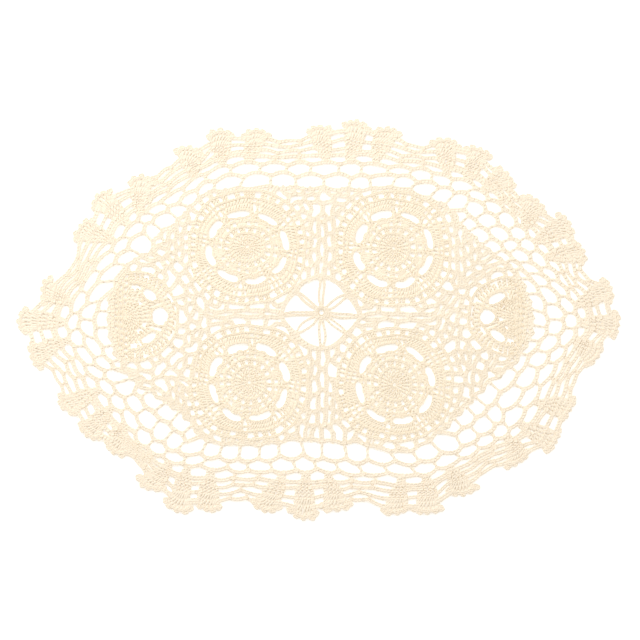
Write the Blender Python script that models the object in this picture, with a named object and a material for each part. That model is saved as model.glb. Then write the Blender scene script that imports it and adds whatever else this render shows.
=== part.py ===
"""Oval crochet lace doily, lying flat: openwork sheets for its motifs, joining net and edging.

Four full medallions and two half medallions are joined by a chain net with an eight-armed star in
the middle. Round them runs a net ground of sixty loops, worked in one with twelve groups of three
picot-edged shells. Places and sizes are in millimetres, +X to the right and +Y to the back, and
each sheet lies with its underside at height 0.
"""

from collections import namedtuple
import math

import bmesh
import bpy
from mathutils import Vector

MILLIMETRE = 0.001

# Driving sizes
DOILY_LENGTH = 380.0
DOILY_DEPTH = 260.0
MEDALLION_THICKNESS = 1.8
STAR_THICKNESS = 1.6
JOINING_THICKNESS = 1.4
EDGING_THICKNESS = 1.6
PIECE_GAP = 0.3
CHAIN_HALF_WIDTH = 0.75
ARCH_END_WALL = 1.4
FINGER_HALF_WIDTH = 1.7

# The edging repeats in twelve groups, five loops of the net ground to each.
GROUP_COUNT = 12
LOOPS_PER_GROUP = 5
LOOP_COUNT = GROUP_COUNT * LOOPS_PER_GROUP
SIDE_SHELL_LOOPS = 1.3
VALLEY_LOOPS = LOOPS_PER_GROUP / 2

# How far out each line of the ground lies: 0 at the joined motifs, 1 where the fingers of the
# groups start, 2 at the middle of the shells and at the rim between groups.
LEVELS = {"edge": 0.0, "first": 0.53, "root": 1.0, "arch": 1.27, "nested": 1.52, "rim": 2.0}
# The first gaps past the edge line and past the root line start a little further out.
FIRST_ROUND_FOOT = 0.05
ARCH_FOOT = 1.04
# The gaps beside a middle finger, each between two levels.
FINGER_GAPS = ((1.12, 1.42), (1.44, 1.76))

# A group of shells: the ground's inner edge below it, where its middle finger starts, and the
# middles of its three shells. The groups run clockwise from the back left.
Group = namedtuple("Group", "edge root before middle after")
GROUPS = (
    Group((-66.8, 83.5), (-61.1, 99.8), (-82.5, 107.6), (-62.4, 118.7), (-39.7, 118.7)),
    Group((18.3, 84.8), (19.5, 101.7), (0.6, 121.3), (23.3, 124.6), (42.2, 120.0)),
    Group((78.8, 73.7), (93.2, 89.3), (80.0, 112.8), (100.2, 107.6), (115.9, 91.9)),
    Group((114.0, 39.1), (135.4, 49.6), (134.8, 73.7), (153.7, 60.0), (161.9, 43.0)),
    Group((133.6, 0.7), (162.5, -2.6), (179.6, 18.3), (184.6, -3.9), (171.4, -23.5)),
    Group((102.1, -46.3), (124.7, -67.8), (155.0, -58.0), (145.5, -78.9), (124.1, -90.0)),
    Group((57.3, -85.4), (66.8, -100.4), (89.5, -109.5), (68.0, -121.9), (47.9, -121.9)),
    Group((-12.0, -78.9), (-8.2, -99.1), (10.6, -119.3), (-9.4, -124.2), (-32.8, -119.3)),
    Group((-69.9, -78.9), (-81.9, -95.8), (-69.3, -119.3), (-88.2, -119.3), (-104.0, -105.6)),
    Group((-110.9, -44.3), (-130.4, -56.1), (-126.0, -82.2), (-143.0, -72.4), (-156.9, -55.4)),
    Group((-132.9, 0.0), (-158.8, -2.0), (-177.0, -23.5), (-184.2, -1.3), (-170.1, 18.3)),
    Group((-101.4, 47.6), (-119.1, 61.3), (-147.4, 57.4), (-136.7, 76.9), (-112.1, 88.0)),
)

# The valley after each group: the ground's inner edge, the line of the finger roots, and the rim.
Valley = namedtuple("Valley", "edge root rim")
VALLEYS = (
    Valley((-22.7, 86.1), (-19.5, 102.4), (-18.3, 116.7)),
    Valley((51.0, 85.4), (58.6, 99.1), (60.5, 113.4)),
    Valley((93.9, 55.4), (116.5, 72.4), (123.5, 82.2)),
    Valley((126.6, 26.1), (151.2, 24.8), (167.6, 28.0)),
    Valley((127.3, -22.8), (149.3, -30.0), (159.4, -41.7)),
    Valley((84.4, -65.2), (102.7, -84.1), (105.2, -97.8)),
    Valley((22.7, -80.8), (27.1, -101.1), (24.6, -117.4)),
    Valley((-43.5, -81.5), (-44.7, -99.1), (-51.0, -116.7)),
    Valley((-87.6, -60.0), (-109.0, -84.1), (-112.8, -93.9)),
    Valley((-125.4, -27.4), (-148.7, -29.3), (-165.1, -37.8)),
    Valley((-124.7, 31.3), (-144.3, 30.0), (-156.2, 33.9)),
    Valley((-85.0, 69.1), (-102.7, 76.3), (-97.7, 97.1)),
)

# A full medallion: its middle, outer half widths, half widths of its ring of slots, and how far
# that ring is turned, in degrees.
Medallion = namedtuple("Medallion", "name middle outer slots turn")
MEDALLIONS = (
    Medallion("medallion_back_left", (-45.3, 46.6), (36.5, 37.0), (24.6, 22.2), 13.0),
    Medallion("medallion_back_right", (46.9, 45.4), (36.0, 37.3), (23.3, 23.5), 18.5),
    Medallion("medallion_front_left", (-44.1, -41.4), (36.8, 36.8), (23.9, 23.9), 17.5),
    Medallion("medallion_front_right", (47.6, -42.7), (36.0, 36.5), (23.1, 24.3), 12.4),
)
MEDALLION_SQUARENESS = 2.3
MEDALLION_STEPS = 36
SLOTS_PER_MEDALLION = 8
SLOT_HALF_ANGLE = 19.0
SLOT_OUTER_HALF_ANGLE = 13.5
SLOT_INNER_HALF_ANGLE = 11.5
SLOT_HALF_DEPTH = 0.09
CLUSTER_TIP_REACH = 0.06

# A half medallion: its middle, which way it opens (1 is +X), how far it reaches that way, how far
# its flat side stands behind its middle, its half height, and the radius of its slots.
HalfMedallion = namedtuple("HalfMedallion", "name middle opens reach back half_height slot_radius")
HALF_MEDALLIONS = (
    HalfMedallion("half_medallion_left", (-118.0, 1.5), 1, 30.0, 11.6, 30.0, 18.0),
    HalfMedallion("half_medallion_right", (120.5, 1.5), -1, 27.5, 8.8, 26.0, 15.2),
)
HALF_MEDALLION_STEPS = 32
HALF_SLOT_ANGLES = (-52.0, 0.0, 52.0)
HALF_SLOT_HALF_ANGLE = 21.0
HALF_SLOT_END_HALF_ANGLE = 14.0
HALF_SLOT_HALF_DEPTH = 3.4

# The centre star: its frame's half sizes towards its arms and between them, and its arms
STAR_MIDDLE = (0.9, 3.5)
STAR_HALF_WIDTH = 24.0
STAR_HALF_DEPTH = 23.0
STAR_DIAGONAL = 22.0
STAR_ARMS = 8
STAR_FRAME = 1.8
STAR_ARM_HALF_WIDTH = 1.2
STAR_HUB_RADIUS = 4.0

# An arm of the joining net: where its ladder of gaps starts and ends, how many there are, and the
# size of a gap across and along the arm.
Ladder = namedtuple("Ladder", "start end count across along")
LADDERS = (
    Ladder((1.4, 74.0), (1.2, 33.0), 5, 6.0, 6.4),
    Ladder((1.0, -26.5), (-1.0, -72.0), 5, 6.0, 6.8),
    Ladder((-30.5, 3.3), (-73.0, 2.5), 4, 4.4, 8.6),
    Ladder((31.5, 1.2), (73.0, 0.6), 4, 4.4, 8.6),
    Ladder((-84.6, 21.0), (-82.6, -17.0), 4, 6.2, 6.4),
    Ladder((86.4, 20.0), (85.4, -16.0), 4, 6.2, 6.2),
)

# The line between the joined motifs and the ground is drawn in this many steps.
EDGE_STEPS = 2 * LOOP_COUNT

# How much of a gap's side its rounded corner takes, and a pointed slit's
GAP_CUT = 0.3
SLIT_CUT = 0.24

# A shell of the edging: how far it reaches to the sides and outwards, and its picots. It leans as
# the ground does from SHELL_LEAN_LEVEL, and the rim between groups is flat for a part of a loop.
SHELL_LEAN_LEVEL = 1.3
RIM_HALF_FLAT = 0.35
SHELL_HALF_WIDTH = 8.2
SHELL_REACH = 5.6
PICOT_COUNT = 5
PICOT_SPREAD = 72.0
PICOT_DIP = 0.84

COTTON_COLOUR = (0.90, 0.83, 0.68, 1.0)
COTTON_ROUGHNESS = 0.9


def clear_scene():
    for item in list(bpy.data.objects):
        bpy.data.objects.remove(item, do_unlink=True)


def cotton():
    material = bpy.data.materials.new("cream_cotton")
    material.use_nodes = True
    surface = material.node_tree.nodes["Principled BSDF"]
    surface.inputs["Base Color"].default_value = COTTON_COLOUR
    surface.inputs["Roughness"].default_value = COTTON_ROUGHNESS
    surface.inputs["Metallic"].default_value = 0.0
    return material


def smooth_closed(stations, position):
    """The point at a position, in stations, on the closed smooth curve through the stations."""
    count = len(stations)
    start = math.floor(position)
    part = position - start
    before, here, there, after = (Vector(stations[(start + step) % count]) for step in (-1, 0, 1, 2))
    leave = (there - before) / 2
    arrive = (after - here) / 2
    return (
        here * (2 * part**3 - 3 * part**2 + 1)
        + leave * (part**3 - 2 * part**2 + part)
        + there * (3 * part**2 - 2 * part**3)
        + arrive * (part**3 - part**2)
    )


def pairs_of(line):
    """The stations of the edge or root line: at each group and at the valley after it."""
    stations = []
    for group, valley in zip(GROUPS, VALLEYS):
        stations.append(getattr(group, line))
        stations.append(getattr(valley, line))
    return stations


EDGE_STATIONS = pairs_of("edge")
ROOT_STATIONS = pairs_of("root")
RIM_STATIONS_PER_GROUP = 4
RIM_STATIONS = [
    place
    for group, valley in zip(GROUPS, VALLEYS)
    for place in (group.before, group.middle, group.after, valley.rim)
]


def rim_position(loops):
    """Turns a place counted in loops into one counted in stations of the rim."""
    group = math.floor((loops + VALLEY_LOOPS) / LOOPS_PER_GROUP)
    offset = loops - group * LOOPS_PER_GROUP
    if abs(offset) <= SIDE_SHELL_LOOPS:
        stations = 1 + offset / SIDE_SHELL_LOOPS
    else:
        past = (abs(offset) - SIDE_SHELL_LOOPS) / (VALLEY_LOOPS - SIDE_SHELL_LOOPS)
        stations = 1 + math.copysign(1 + past, offset)
    return RIM_STATIONS_PER_GROUP * group + stations


def ground(loops, out):
    """A point of the ground: loops counts clockwise from the first group, out is a level."""
    root = smooth_closed(ROOT_STATIONS, loops / VALLEY_LOOPS)
    if out <= 1:
        edge = smooth_closed(EDGE_STATIONS, loops / VALLEY_LOOPS)
        return edge.lerp(root, out)
    rim = smooth_closed(RIM_STATIONS, rim_position(loops))
    return root.lerp(rim, out - 1)


def inner_corner(before, corner, after, wall_before, wall_after):
    """Where the walls along the two sides that meet at a corner cross, inside it."""
    to_before = (before - corner).normalized()
    to_after = (after - corner).normalized()
    return corner + (to_before * wall_after + to_after * wall_before) / abs(to_before.cross(to_after))


def gap_in(corners, wall_across, wall_along, cut=GAP_CUT):
    """The rounded gap inside four corners, with walls left at its two ends and at its sides."""
    low_left, low_right, high_right, high_left = (Vector(corner) for corner in corners)
    inner = (
        inner_corner(high_left, low_left, low_right, wall_along, wall_across),
        inner_corner(low_left, low_right, high_right, wall_across, wall_along),
        inner_corner(low_right, high_right, high_left, wall_along, wall_across),
        inner_corner(high_right, high_left, low_left, wall_across, wall_along),
    )
    points = []
    for index, corner in enumerate(inner):
        following = inner[(index + 1) % len(inner)]
        points.append(corner.lerp(following, cut))
        points.append(following.lerp(corner, cut))
    return points


def slit_in(corners, wall_across, wall_along):
    """The pointed slit inside four corners: a gap whose corners are cut to the middle."""
    points = gap_in(corners, wall_across, wall_along, SLIT_CUT)
    ends = (points[2].lerp(points[3], 0.5), points[6].lerp(points[7], 0.5))
    return [points[0], points[1], ends[0], points[4], points[5], ends[1]]


def cell(middle, half_width, low, high):
    """The four corners of a piece of the ground between two levels."""
    left = middle - half_width
    right = middle + half_width
    return [ground(left, low), ground(right, low), ground(right, high), ground(left, high)]


def sheet(name, outline, gaps, thickness, material):
    """A flat sheet of one thickness with gaps cut through it, its underside at height 0."""
    mesh = bmesh.new()
    for loop in [outline] + gaps:
        corners = [mesh.verts.new((x * MILLIMETRE, y * MILLIMETRE, 0.0)) for x, y in loop]
        for corner, following in zip(corners, corners[1:] + corners[:1]):
            mesh.edges.new((corner, following))
    bmesh.ops.triangle_fill(mesh, use_beauty=True, edges=mesh.edges[:])
    raised = bmesh.ops.extrude_face_region(mesh, geom=mesh.faces[:])["geom"]
    top = [item for item in raised if isinstance(item, bmesh.types.BMVert)]
    bmesh.ops.translate(mesh, verts=top, vec=(0.0, 0.0, thickness * MILLIMETRE))
    bmesh.ops.recalc_face_normals(mesh, faces=mesh.faces[:])
    data = bpy.data.meshes.new(name)
    mesh.to_mesh(data)
    mesh.free()
    data.materials.append(material)
    item = bpy.data.objects.new(name, data)
    bpy.context.scene.collection.objects.link(item)
    return item


def round_square(angle, squareness):
    """A point of the unit outline between a circle, squareness 2, and a square."""
    across = math.copysign(abs(math.cos(angle)) ** (2 / squareness), math.cos(angle))
    along = math.copysign(abs(math.sin(angle)) ** (2 / squareness), math.sin(angle))
    return across, along


def medallion_outline(row, grown=0.0):
    """A medallion's outer edge, grown all round by some millimetres."""
    half_x = row.outer[0] + grown
    half_y = row.outer[1] + grown
    points = []
    for step in range(MEDALLION_STEPS):
        angle = 2 * math.pi * step / MEDALLION_STEPS
        across, along = round_square(angle, MEDALLION_SQUARENESS)
        points.append((row.middle[0] + half_x * across, row.middle[1] + half_y * along))
    return points


def medallion_slot(row, angle):
    """A curved slot beside the tip of a cluster, which pokes into its inner side."""

    def at(offset, radius):
        turn = math.radians(angle + offset)
        return (
            row.middle[0] + row.slots[0] * radius * math.cos(turn),
            row.middle[1] + row.slots[1] * radius * math.sin(turn),
        )

    outer = 1 + SLOT_HALF_DEPTH
    inner = 1 - SLOT_HALF_DEPTH
    return [
        at(-SLOT_HALF_ANGLE, 1.0),
        at(-SLOT_OUTER_HALF_ANGLE, outer),
        at(0, outer),
        at(SLOT_OUTER_HALF_ANGLE, outer),
        at(SLOT_HALF_ANGLE, 1.0),
        at(SLOT_INNER_HALF_ANGLE, inner),
        at(0, inner + CLUSTER_TIP_REACH),
        at(-SLOT_INNER_HALF_ANGLE, inner),
    ]


def make_medallions(material):
    for row in MEDALLIONS:
        slots = [
            medallion_slot(row, row.turn + 360 * step / SLOTS_PER_MEDALLION)
            for step in range(SLOTS_PER_MEDALLION)
        ]
        sheet(row.name, medallion_outline(row), slots, MEDALLION_THICKNESS, material)


def half_outline(row, grown=0.0):
    """A half wheel: a wide half ellipse on the side that it opens to, a flat one behind."""
    points = []
    for step in range(HALF_MEDALLION_STEPS):
        angle = 2 * math.pi * step / HALF_MEDALLION_STEPS
        reach = row.reach if math.cos(angle) > 0 else row.back
        x = row.middle[0] + row.opens * (reach + grown) * math.cos(angle)
        y = row.middle[1] + (row.half_height + grown) * math.sin(angle)
        points.append((x, y))
    return points


def half_slot(row, angle):
    def at(offset, radius):
        turn = math.radians(angle + offset)
        return (
            row.middle[0] + row.opens * radius * math.cos(turn),
            row.middle[1] + radius * math.sin(turn),
        )

    inner = row.slot_radius - HALF_SLOT_HALF_DEPTH
    outer = row.slot_radius + HALF_SLOT_HALF_DEPTH
    return [
        at(-HALF_SLOT_HALF_ANGLE, row.slot_radius),
        at(-HALF_SLOT_END_HALF_ANGLE, outer),
        at(HALF_SLOT_END_HALF_ANGLE, outer),
        at(HALF_SLOT_HALF_ANGLE, row.slot_radius),
        at(HALF_SLOT_END_HALF_ANGLE, inner),
        at(-HALF_SLOT_END_HALF_ANGLE, inner),
    ]


def make_half_medallions(material):
    for row in HALF_MEDALLIONS:
        slots = [half_slot(row, angle) for angle in HALF_SLOT_ANGLES]
        sheet(row.name, half_outline(row), slots, MEDALLION_THICKNESS, material)


def star_outline(grown=0.0):
    """The star's eight-sided frame, with its corners halfway between its arms."""
    points = []
    for step in range(2 * STAR_ARMS):
        angle = 2 * math.pi * step / (2 * STAR_ARMS)
        diagonal = abs(math.sin(2 * angle))
        half_x = STAR_HALF_WIDTH + (STAR_DIAGONAL - STAR_HALF_WIDTH) * diagonal + grown
        half_y = STAR_HALF_DEPTH + (STAR_DIAGONAL - STAR_HALF_DEPTH) * diagonal + grown
        points.append(
            (STAR_MIDDLE[0] + half_x * math.cos(angle), STAR_MIDDLE[1] + half_y * math.sin(angle))
        )
    return points


def star_sector(step):
    """The gap between two arms of the star, from its hub to its frame."""
    frame = star_outline(-STAR_FRAME)
    middle = Vector(STAR_MIDDLE)
    first = Vector(frame[2 * step]) - middle
    bend = Vector(frame[2 * step + 1]) - middle
    last = Vector(frame[(2 * step + 2) % len(frame)]) - middle
    aside_first = Vector((-first.y, first.x)).normalized() * STAR_ARM_HALF_WIDTH
    aside_last = Vector((last.y, -last.x)).normalized() * STAR_ARM_HALF_WIDTH
    hub = bend.normalized() * STAR_HUB_RADIUS
    return [
        middle + hub,
        middle + first + aside_first,
        middle + bend,
        middle + last + aside_last,
    ]


def make_centre_star(material):
    sectors = [star_sector(step) for step in range(STAR_ARMS)]
    sheet("centre_star", star_outline(), sectors, STAR_THICKNESS, material)


def edge_line(inset):
    """The line between the joined motifs and the ground, moved inwards by some millimetres."""
    loops_per_step = LOOP_COUNT / EDGE_STEPS
    points = []
    for step in range(EDGE_STEPS):
        here = ground(step * loops_per_step, LEVELS["edge"])
        ahead = ground((step + 0.1) * loops_per_step, LEVELS["edge"]) - here
        inwards = Vector((ahead.y, -ahead.x)).normalized()
        points.append(here + inwards * inset)
    return points


def ladder_gaps(row):
    start = Vector(row.start)
    along = (Vector(row.end) - start) / (row.count - 1)
    ahead = along.normalized()
    aside = Vector((-ahead.y, ahead.x))
    gaps = []
    for step in range(row.count):
        middle = start + along * step
        half_ahead = ahead * row.along / 2
        half_aside = aside * row.across / 2
        corners = [
            middle - half_ahead - half_aside,
            middle + half_ahead - half_aside,
            middle + half_ahead + half_aside,
            middle - half_ahead + half_aside,
        ]
        gaps.append(gap_in(corners, 0.0, 0.0))
    return gaps


def make_joining_net(material):
    gaps = [medallion_outline(row, PIECE_GAP) for row in MEDALLIONS]
    gaps += [half_outline(row, PIECE_GAP) for row in HALF_MEDALLIONS]
    gaps.append(star_outline(PIECE_GAP))
    for row in LADDERS:
        gaps += ladder_gaps(row)
    sheet("joining_net", edge_line(PIECE_GAP), gaps, JOINING_THICKNESS, material)


def shell_outline(middle, outwards):
    """The picot edge of a shell, clockwise: bumps with dips between them."""
    aside = Vector((outwards.y, -outwards.x))
    points = []
    steps = 2 * PICOT_COUNT
    for step in range(steps + 1):
        angle = math.radians(PICOT_SPREAD * (2 * step / steps - 1) * (1 + 1 / PICOT_COUNT))
        size = 1.0 if step % 2 else PICOT_DIP
        points.append(
            middle
            + aside * SHELL_HALF_WIDTH * size * math.sin(angle)
            + outwards * SHELL_REACH * size * math.cos(angle)
        )
    return points


def edging_outline():
    """The outer edge, clockwise: three shells for each group, then the rim of the valley."""
    points = []
    for index in range(GROUP_COUNT):
        base = index * LOOPS_PER_GROUP
        for offset in (-SIDE_SHELL_LOOPS, 0.0, SIDE_SHELL_LOOPS):
            middle = ground(base + offset, LEVELS["rim"])
            stem = middle - ground(base + offset, SHELL_LEAN_LEVEL)
            points += shell_outline(middle, stem.normalized())
        for offset in (-RIM_HALF_FLAT, 0.0, RIM_HALF_FLAT):
            points.append(ground(base + VALLEY_LOOPS + offset, LEVELS["rim"]))
    return points


def ground_gaps():
    """Both rounds of net, the arches between groups, and the gaps beside each middle finger."""
    gaps = []
    wall = CHAIN_HALF_WIDTH
    for loop in range(LOOP_COUNT):
        first = cell(loop + 0.5, 0.5, FIRST_ROUND_FOOT, LEVELS["first"])
        second = cell(loop, 0.5, LEVELS["first"], LEVELS["root"])
        gaps.append(gap_in(first, wall, wall))
        gaps.append(gap_in(second, wall, wall))
    for index in range(GROUP_COUNT):
        base = index * LOOPS_PER_GROUP
        for offset in (1.5, 2.5, 3.5):
            arch = cell(base + offset, 0.5, ARCH_FOOT, LEVELS["arch"])
            gaps.append(slit_in(arch, wall, ARCH_END_WALL))
        for offset in (2.0, 3.0):
            nested = cell(base + offset, 0.5, LEVELS["arch"], LEVELS["nested"])
            gaps.append(slit_in(nested, wall, wall))
        for offset in (-SIDE_SHELL_LOOPS / 2, SIDE_SHELL_LOOPS / 2):
            for low, high in FINGER_GAPS:
                beside = cell(base + offset, SIDE_SHELL_LOOPS / 2, low, high)
                gaps.append(gap_in(beside, wall, FINGER_HALF_WIDTH * 2))
    return gaps


def make_net_edging(material):
    """The ground and the edging are one piece, with the joined motifs in its middle."""
    gaps = [edge_line(0.0)] + ground_gaps()
    sheet("net_edging", edging_outline(), gaps, EDGING_THICKNESS, material)


def centre_and_fit():
    """Brings the whole doily to its length and depth, with the origin under its middle."""
    sheets = [item for item in bpy.data.objects if item.type == "MESH"]
    points = [vertex.co for item in sheets for vertex in item.data.vertices]
    for axis, size in ((0, DOILY_LENGTH), (1, DOILY_DEPTH)):
        low = min(point[axis] for point in points)
        high = max(point[axis] for point in points)
        scale = size * MILLIMETRE / (high - low)
        for point in points:
            point[axis] = (point[axis] - (low + high) / 2) * scale


def main():
    clear_scene()
    material = cotton()
    make_medallions(material)
    make_half_medallions(material)
    make_centre_star(material)
    make_joining_net(material)
    make_net_edging(material)
    centre_and_fit()


main()
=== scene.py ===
"""Dresses the lace doily: every chain and stitch of its crochet, its cotton, light and camera."""

from collections import namedtuple
import math

import bpy
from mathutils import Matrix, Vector
from mathutils.geometry import delaunay_2d_cdt
import numpy as np


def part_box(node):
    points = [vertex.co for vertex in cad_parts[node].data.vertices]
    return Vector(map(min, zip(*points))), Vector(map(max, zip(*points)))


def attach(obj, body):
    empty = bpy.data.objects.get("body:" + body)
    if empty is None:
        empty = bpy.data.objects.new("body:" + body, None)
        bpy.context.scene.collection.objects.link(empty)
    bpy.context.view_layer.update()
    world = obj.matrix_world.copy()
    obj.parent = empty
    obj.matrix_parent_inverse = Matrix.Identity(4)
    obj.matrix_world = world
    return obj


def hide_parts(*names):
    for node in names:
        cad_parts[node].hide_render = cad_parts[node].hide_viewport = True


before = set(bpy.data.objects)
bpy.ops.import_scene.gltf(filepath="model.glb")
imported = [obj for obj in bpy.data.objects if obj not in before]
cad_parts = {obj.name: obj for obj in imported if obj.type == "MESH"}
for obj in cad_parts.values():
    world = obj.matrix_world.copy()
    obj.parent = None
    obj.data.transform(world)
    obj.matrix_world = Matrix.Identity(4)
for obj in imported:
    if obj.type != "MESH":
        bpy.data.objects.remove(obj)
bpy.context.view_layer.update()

MILLIMETRE = 0.001
RANDOM = np.random.default_rng(11)

# Pixels of the photograph, as millimetres on the table
PHOTO_MIDDLE = (319.0, 320.0)
PIXEL_ACROSS = 0.63
PIXEL_ALONG = 0.652

# The layout, in millimetres, as the solids have it

GROUP_COUNT = 12
LOOPS_PER_GROUP = 5
LOOP_COUNT = GROUP_COUNT * LOOPS_PER_GROUP
SIDE_SHELL_LOOPS = 1.3
VALLEY_LOOPS = LOOPS_PER_GROUP / 2

Group = namedtuple("Group", "edge root before middle after")
GROUPS = (
    Group((-66.8, 83.5), (-61.1, 99.8), (-82.5, 107.6), (-62.4, 118.7), (-39.7, 118.7)),
    Group((18.3, 84.8), (19.5, 101.7), (0.6, 121.3), (23.3, 124.6), (42.2, 120.0)),
    Group((78.8, 73.7), (93.2, 89.3), (80.0, 112.8), (100.2, 107.6), (115.9, 91.9)),
    Group((114.0, 39.1), (135.4, 49.6), (134.8, 73.7), (153.7, 60.0), (161.9, 43.0)),
    Group((133.6, 0.7), (162.5, -2.6), (179.6, 18.3), (184.6, -3.9), (171.4, -23.5)),
    Group((102.1, -46.3), (124.7, -67.8), (155.0, -58.0), (145.5, -78.9), (124.1, -90.0)),
    Group((57.3, -85.4), (66.8, -100.4), (89.5, -109.5), (68.0, -121.9), (47.9, -121.9)),
    Group((-12.0, -78.9), (-8.2, -99.1), (10.6, -119.3), (-9.4, -124.2), (-32.8, -119.3)),
    Group((-69.9, -78.9), (-81.9, -95.8), (-69.3, -119.3), (-88.2, -119.3), (-104.0, -105.6)),
    Group((-110.9, -44.3), (-130.4, -56.1), (-126.0, -82.2), (-143.0, -72.4), (-156.9, -55.4)),
    Group((-132.9, 0.0), (-158.8, -2.0), (-177.0, -23.5), (-184.2, -1.3), (-170.1, 18.3)),
    Group((-101.4, 47.6), (-119.1, 61.3), (-147.4, 57.4), (-136.7, 76.9), (-112.1, 88.0)),
)

Valley = namedtuple("Valley", "edge root rim")
VALLEYS = (
    Valley((-22.7, 86.1), (-19.5, 102.4), (-18.3, 116.7)),
    Valley((51.0, 85.4), (58.6, 99.1), (60.5, 113.4)),
    Valley((93.9, 55.4), (116.5, 72.4), (123.5, 82.2)),
    Valley((126.6, 26.1), (151.2, 24.8), (167.6, 28.0)),
    Valley((127.3, -22.8), (149.3, -30.0), (159.4, -41.7)),
    Valley((84.4, -65.2), (102.7, -84.1), (105.2, -97.8)),
    Valley((22.7, -80.8), (27.1, -101.1), (24.6, -117.4)),
    Valley((-43.5, -81.5), (-44.7, -99.1), (-51.0, -116.7)),
    Valley((-87.6, -60.0), (-109.0, -84.1), (-112.8, -93.9)),
    Valley((-125.4, -27.4), (-148.7, -29.3), (-165.1, -37.8)),
    Valley((-124.7, 31.3), (-144.3, 30.0), (-156.2, 33.9)),
    Valley((-85.0, 69.1), (-102.7, 76.3), (-97.7, 97.1)),
)

Medallion = namedtuple("Medallion", "name middle outer slots turn")
MEDALLIONS = (
    Medallion("medallion_back_left", (-45.3, 46.6), (36.5, 37.0), (24.6, 22.2), 13.0),
    Medallion("medallion_back_right", (46.9, 45.4), (36.0, 37.3), (23.3, 23.5), 18.5),
    Medallion("medallion_front_left", (-44.1, -41.4), (36.8, 36.8), (23.9, 23.9), 17.5),
    Medallion("medallion_front_right", (47.6, -42.7), (36.0, 36.5), (23.1, 24.3), 12.4),
)
SQUARENESS = 2.3

HalfMedallion = namedtuple("HalfMedallion", "name middle opens reach back half_height slot_radius")
HALF_MEDALLIONS = (
    HalfMedallion("half_medallion_left", (-118.0, 1.5), 1, 30.0, 11.6, 30.0, 18.0),
    HalfMedallion("half_medallion_right", (120.5, 1.5), -1, 27.5, 8.8, 26.0, 15.2),
)

STAR_MIDDLE = (0.9, 3.5)
STAR_HALF_WIDTH = 24.0
STAR_HALF_DEPTH = 23.0
STAR_DIAGONAL = 22.0
STAR_ARMS = 8

# The star's petals, anticlockwise from the right: each tip by the photograph's pixels, and how far
# its two chains part, in millimetres
Petal = namedtuple("Petal", "px py parted")
PETALS = (
    Petal(360.0, 318.0, 1.15),
    Petal(346.0, 297.0, 1.65),
    Petal(322.5, 277.0, 1.45),
    Petal(295.5, 292.5, 1.10),
    Petal(282.0, 315.5, 1.05),
    Petal(297.0, 335.0, 2.20),
    Petal(322.0, 350.0, 1.60),
    Petal(346.0, 334.0, 1.45),
)

# Rows of gaps in the net that joins the motifs: a row's first gap and its last by the photograph's
# pixels, and its number of gaps. The chains run between neighbouring gaps.
GAP_ROWS = (
    # back arm
    ((315, 212), (314, 275), 5), ((330, 211), (328, 274), 5), ((321, 231.5), (320.5, 270), 3),
    ((306, 225), (306, 262), 5), ((337, 222), (337, 257), 3), ((297, 199), (341, 200), 4),
    # front arm
    ((314.5, 355), (312.5, 419), 5), ((331, 354), (328, 418), 5), ((323, 360), (321.5, 420), 4),
    ((307, 373), (303, 407), 5), ((338, 387), (342, 411), 3), ((295, 416), (302, 431), 2),
    ((337, 430), (347, 434), 2),
    # left arm and right arm
    ((225, 315.5), (272, 315), 3), ((216, 309), (276, 309), 4), ((216, 321), (276, 321), 4),
    ((373, 318), (422, 319), 3), ((366, 312), (430, 312), 4), ((366, 324), (430, 324), 4),
    # round the left half medallion
    ((171, 258), (190, 291), 4), ((161, 266), (179, 289), 3), ((193, 273), (201, 306), 3),
    ((196, 316), (190, 339), 3), ((204, 323), (203, 351), 3), ((178, 343), (155, 358), 3),
    ((192, 349), (161, 370), 3), ((173, 376), (194, 392), 3), ((146, 377), (160, 386), 2),
    # round the right half medallion
    ((459, 240), (462, 281), 4), ((468, 250), (480, 268), 3), ((449, 286), (440, 311), 3),
    ((463, 291), (452, 318), 3), ((441, 326), (435, 342), 2), ((455, 333), (451, 343), 2),
    ((465, 333), (463, 347), 2), ((472, 361), (464, 393), 3), ((491, 360), (486, 380), 2),
    ((499, 373), (448, 385), 2),
)

FILL_ROWS = 4
FILL_FIRST = 2.9
FILL_ACROSS = 4.1
FILL_ALONG = 6.9
FILL_PITCH = 5.2

# Stitches. A length is in millimetres, and a width is a share of the stitch's own.
THREAD_HALF_WIDTH = 0.56
THREAD_HALF_HEIGHT = 0.32
CHAIN_PITCH = 2.3
CHAIN_HEIGHT = 0.95
RING_HEIGHT = 1.15
SHORTEST_CHAIN = 0.3
YAW_REACH = 0.4
LINK_LENGTH = 2.9
LINK_HALF_WIDTH = 0.60
LINK_ROUNDNESS = 0.7
LINK_TAPER = 0.2
LINK_DIP = 0.22
POST_HEIGHT = 0.85
POST_HELIX = 0.42
POST_HALF_WIDTH = 0.57
POST_HALF_HEIGHT = 0.28
POST_TURNS = 1.25
KNOT_STRETCH = 0.8
KNOT_WIDTH = 1.45
NET_WIDTH = 1.35
JOIN_WIDTH = 1.5
VALLEY_WIDTH = 1.2
BLOCK_WIDTH = 1.45
FINE_WIDTH = 0.8

# How far a stitch strays: its roll and yaw in radians, and its lift in millimetres
ROLL_SPREAD = 0.10
YAW_SPREAD = 0.035
LIFT_SPREAD = 0.05


def photo(px, py):
    """A pixel of the photograph, in millimetres on the table."""
    return Vector(((px - PHOTO_MIDDLE[0]) * PIXEL_ACROSS, (PHOTO_MIDDLE[1] - py) * PIXEL_ALONG))


def rounded(value, power):
    """A sine or cosine raised to a power, with its sign kept."""
    return math.copysign(abs(value) ** power, value)


def right_of(way):
    return Vector((way.y, -way.x))


def eased(part):
    """A share held between 0 and 1, which leaves and reaches them slowly."""
    part = min(max(part, 0.0), 1.0)
    return part * part * (3 - 2 * part)


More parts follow.
